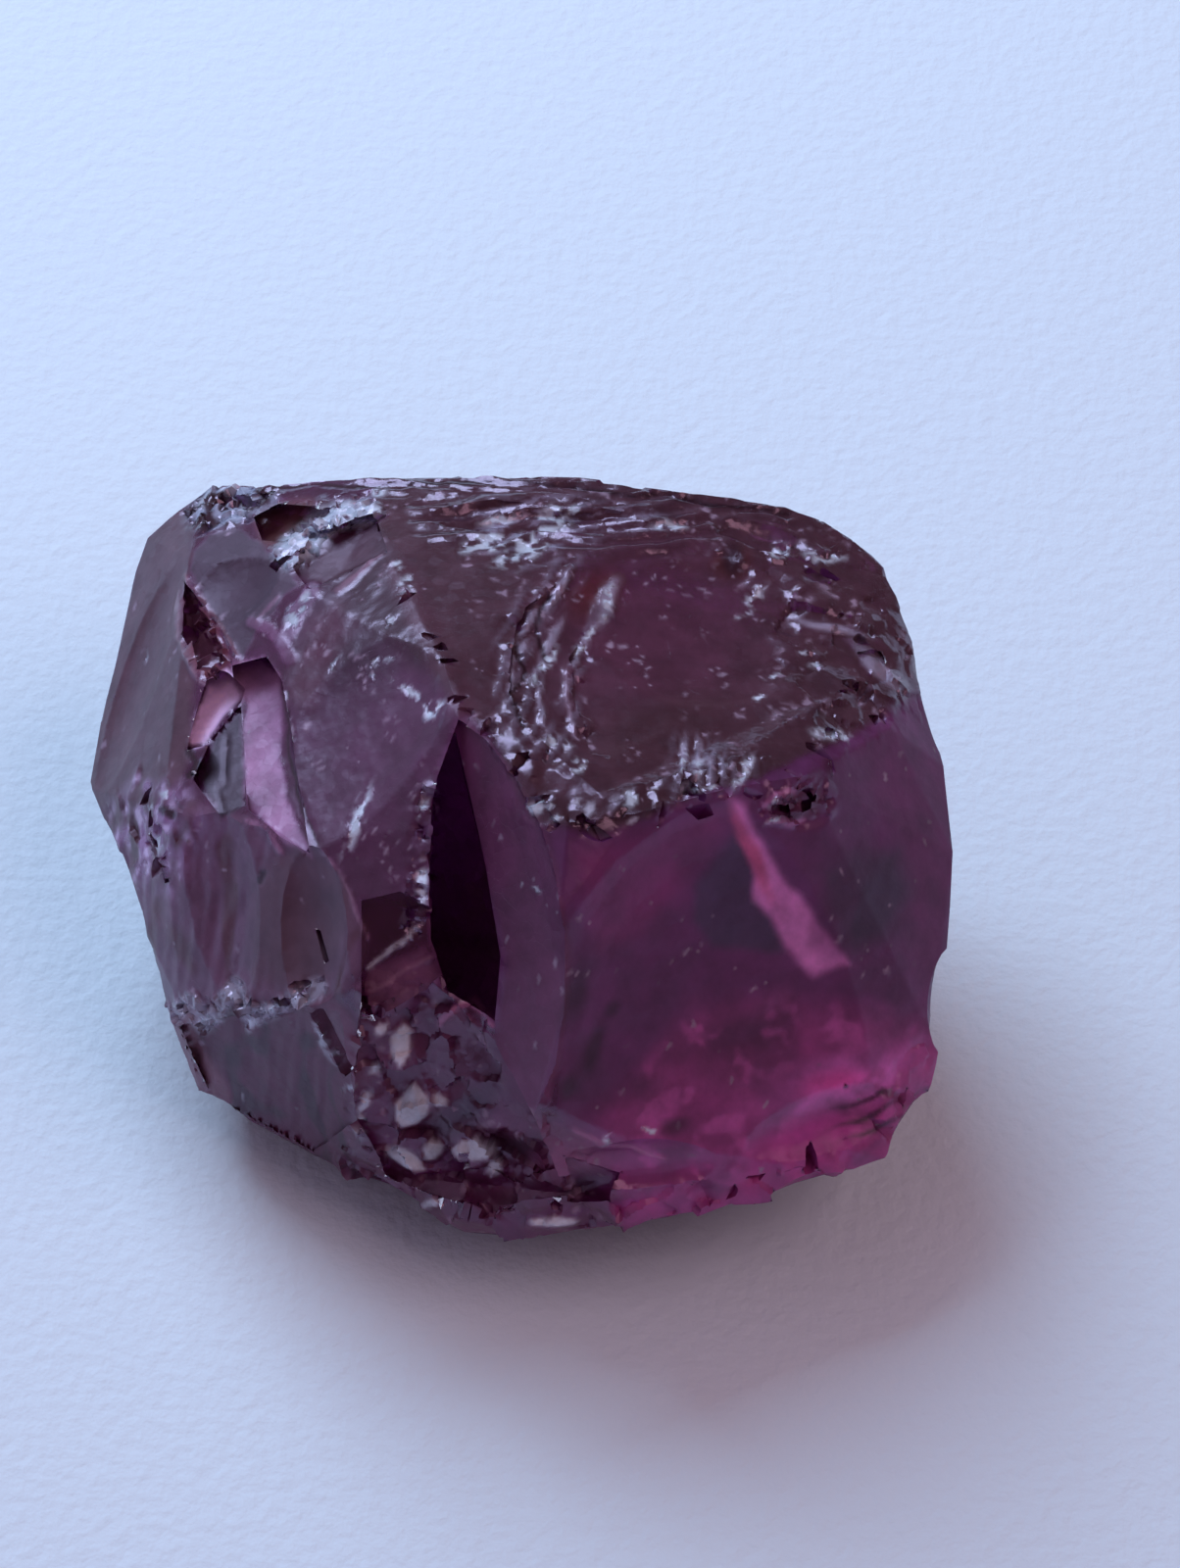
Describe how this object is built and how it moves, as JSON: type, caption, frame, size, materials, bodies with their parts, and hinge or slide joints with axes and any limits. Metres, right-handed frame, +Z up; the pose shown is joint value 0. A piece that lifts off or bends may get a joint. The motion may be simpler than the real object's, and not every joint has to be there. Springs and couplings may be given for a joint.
{
  "type": "rough garnet crystal",
  "caption": "Rough garnet: a broken see-through purple-red crystal with shell-shaped breaks and a deep cleft, at rest on its flat underside",
  "frame": {"origin": "Centre of the box of the stone, at the height of the flat underside that it rests on", "axes": "+X across the best side, left to right, which is also its longest extent; +Y away from the eye; +Z up, its shortest extent"},
  "size_m": [0.0198, 0.0172, 0.0127],
  "materials": {
    "garnet": "clear plum-red crystal with a glassy break, grey-mauve where the sky shines on it and frosted at bruises"
  },
  "bodies": {
    "root": {"garnet": "garnet"}
  },
  "joints": []
}
